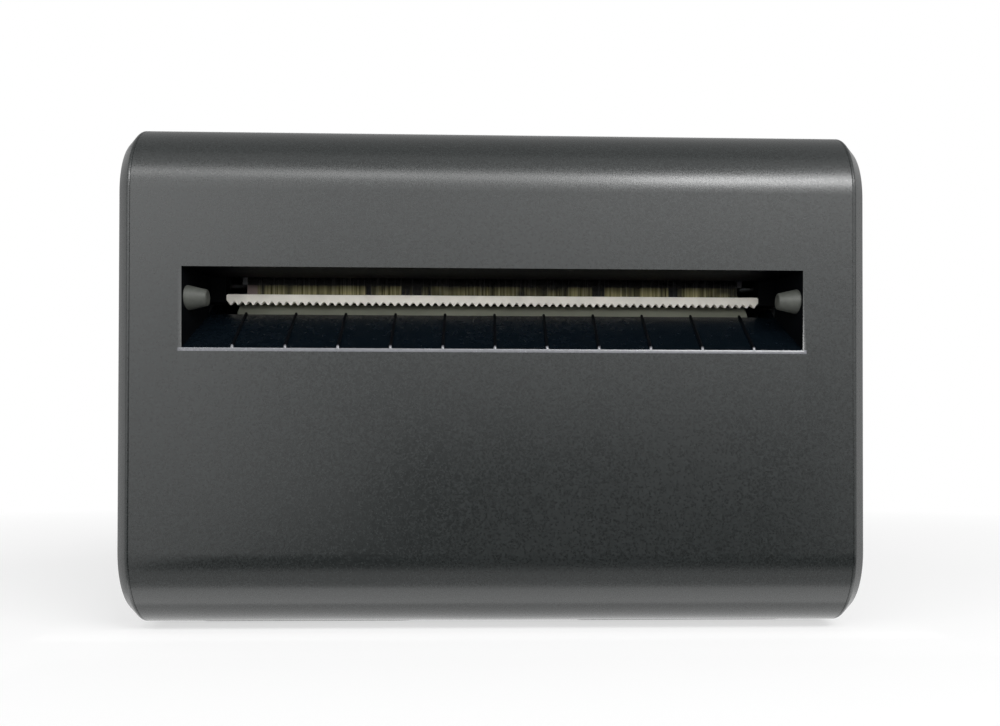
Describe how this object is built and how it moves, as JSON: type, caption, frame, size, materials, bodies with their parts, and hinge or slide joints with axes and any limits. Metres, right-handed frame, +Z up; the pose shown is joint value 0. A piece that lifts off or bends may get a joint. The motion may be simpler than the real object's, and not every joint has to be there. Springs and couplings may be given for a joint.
{
  "type": "receipt printer",
  "caption": "Desktop thermal printer for 112 mm paper rolls, with a ribbed exit slot in the rounded front, serrated tear bar, hinged lid and sliding roll guides.",
  "frame": {"origin": "centre of the bottom of the overall box, on the surface that the feet stand on", "axes": "+Z up, +X to the right seen from the front, the front with the paper exit faces -Y"},
  "size_m": [0.15, 0.17, 0.104],
  "materials": {
    "case_abs": "fine spark texture",
    "gloss_abs": "smooth moulded",
    "inner_abs": "plain moulded",
    "foot_rubber": "matt",
    "platen_rubber": "ground",
    "zinc_steel": "zinc plated sheet",
    "bright_steel": "ground",
    "tear_steel": "satin stainless",
    "screw_steel": "plated",
    "aluminium": "as extruded",
    "head_ceramic": "glazed substrate with conductor pattern",
    "acetal": "natural acetal",
    "brass": "machined",
    "motor_can": "drawn can",
    "circuit_green": "solder mask",
    "port_black": "moulded",
    "port_shell": "tin plated shell",
    "lever_green": "moulded",
    "guide_grey": "moulded",
    "button_grey": "moulded",
    "light_clear": "clear pipe"
  },
  "bodies": {
    "root": {"front_shell": "case_abs", "base_tray": "inner_abs", "left_side_panel": "case_abs", "right_side_panel": "case_abs", "rear_panel": "case_abs", "lid_hinge_pins": "bright_steel", "front_feet": "foot_rubber", "rear_feet": "foot_rubber", "housing_screws": "screw_steel", "tear_bar": "tear_steel", "tear_bar_holder": "gloss_abs", "tear_bar_screws": "screw_steel", "left_frame": "zinc_steel", "right_frame": "zinc_steel", "cross_beam": "zinc_steel", "frame_screws": "screw_steel", "platen_bushings": "gloss_abs", "idler_post": "bright_steel", "motor": "motor_can", "motor_screws": "screw_steel", "pivot_shaft": "bright_steel", "head_springs": "bright_steel", "paper_guide": "gloss_abs", "paper_sensor": "port_black", "roll_cradle": "inner_abs", "main_board": "circuit_green", "board_screws": "screw_steel", "power_inlet": "port_black", "usb_port": "port_shell", "drawer_port": "port_black", "switch_body": "port_black", "button_spring": "bright_steel", "status_light": "light_clear", "button_board": "circuit_green", "button_board_screws": "screw_steel"},
    "lid": {"top_lid": "case_abs"},
    "platen": {"platen_shaft": "bright_steel", "platen_rubber": "platen_rubber", "platen_gear": "acetal"},
    "idler": {"idler_gear": "acetal"},
    "motor_rotor": {"motor_shaft": "bright_steel", "motor_pinion": "brass"},
    "print_head": {"head_bracket": "zinc_steel", "heat_sink": "aluminium", "thermal_head": "head_ceramic"},
    "lever": {"cam_shaft": "bright_steel", "head_lever": "lever_green"},
    "button": {"feed_button": "button_grey"},
    "rocker": {"power_rocker": "port_black"},
    "left_guide": {"left_roll_guide": "guide_grey"},
    "right_guide": {"right_roll_guide": "guide_grey"},
    "rack_pinion": {"guide_pinion": "acetal"}
  },
  "joints": [
    {"name": "lid_hinge", "type": "hinge", "parent": "root", "child": "lid", "pos_m": [0, 0.073, 0.1002], "axis": [-1, 0, 0], "range_deg": [0, 95]},
    {"name": "platen_turn", "type": "hinge", "parent": "root", "child": "platen", "pos_m": [0, -0.0645, 0.0618], "axis": [1, 0, 0], "continuous": true},
    {"name": "idler_turn", "type": "hinge", "parent": "root", "child": "idler", "pos_m": [-0.066, -0.04456, 0.04705], "axis": [1, 0, 0], "continuous": true},
    {"name": "motor_turn", "type": "hinge", "parent": "root", "child": "motor_rotor", "pos_m": [-0.066, -0.041, 0.029], "axis": [1, 0, 0], "continuous": true},
    {"name": "lever_turn", "type": "hinge", "parent": "root", "child": "lever", "pos_m": [0, -0.049, 0.0755], "axis": [-1, 0, 0], "range_deg": [0, 80]},
    {"name": "head_lift", "type": "hinge", "parent": "root", "child": "print_head", "pos_m": [0, -0.033, 0.075], "axis": [-1, 0, 0], "range_deg": [0, 5], "deforming": ["head_springs"]},
    {"name": "feed_press", "type": "slide", "parent": "root", "child": "button", "axis": [0, 0, -1], "range_m": [0, 0.0012], "stiffness_N_per_m": 300, "springref_m": -0.002, "deforming": ["button_spring"]},
    {"name": "rocker_tilt", "type": "hinge", "parent": "root", "child": "rocker", "pos_m": [0.042, 0.0805, 0.025], "axis": [1, 0, 0], "range_deg": [0, 12]},
    {"name": "left_guide_slide", "type": "slide", "parent": "root", "child": "left_guide", "axis": [1, 0, 0], "range_m": [0, 0.027]},
    {"name": "right_guide_slide", "type": "slide", "parent": "root", "child": "right_guide", "axis": [-1, 0, 0], "range_m": [0, 0.027]},
    {"name": "rack_pinion_turn", "type": "hinge", "parent": "root", "child": "rack_pinion", "pos_m": [0, 0.005, 0.0067], "axis": [0, 0, 1], "range_deg": [0, 216]}
  ],
  "couplings": [
    {"joint": "idler_turn", "follows": "platen_turn", "ratio": -0.9375},
    {"joint": "motor_turn", "follows": "platen_turn", "ratio": 2.1429},
    {"joint": "head_lift", "follows": "lever_turn", "ratio": 0.0625},
    {"joint": "right_guide_slide", "follows": "left_guide_slide", "ratio": 1},
    {"joint": "rack_pinion_turn", "follows": "left_guide_slide", "rad_per_m": 138.89}
  ]
}
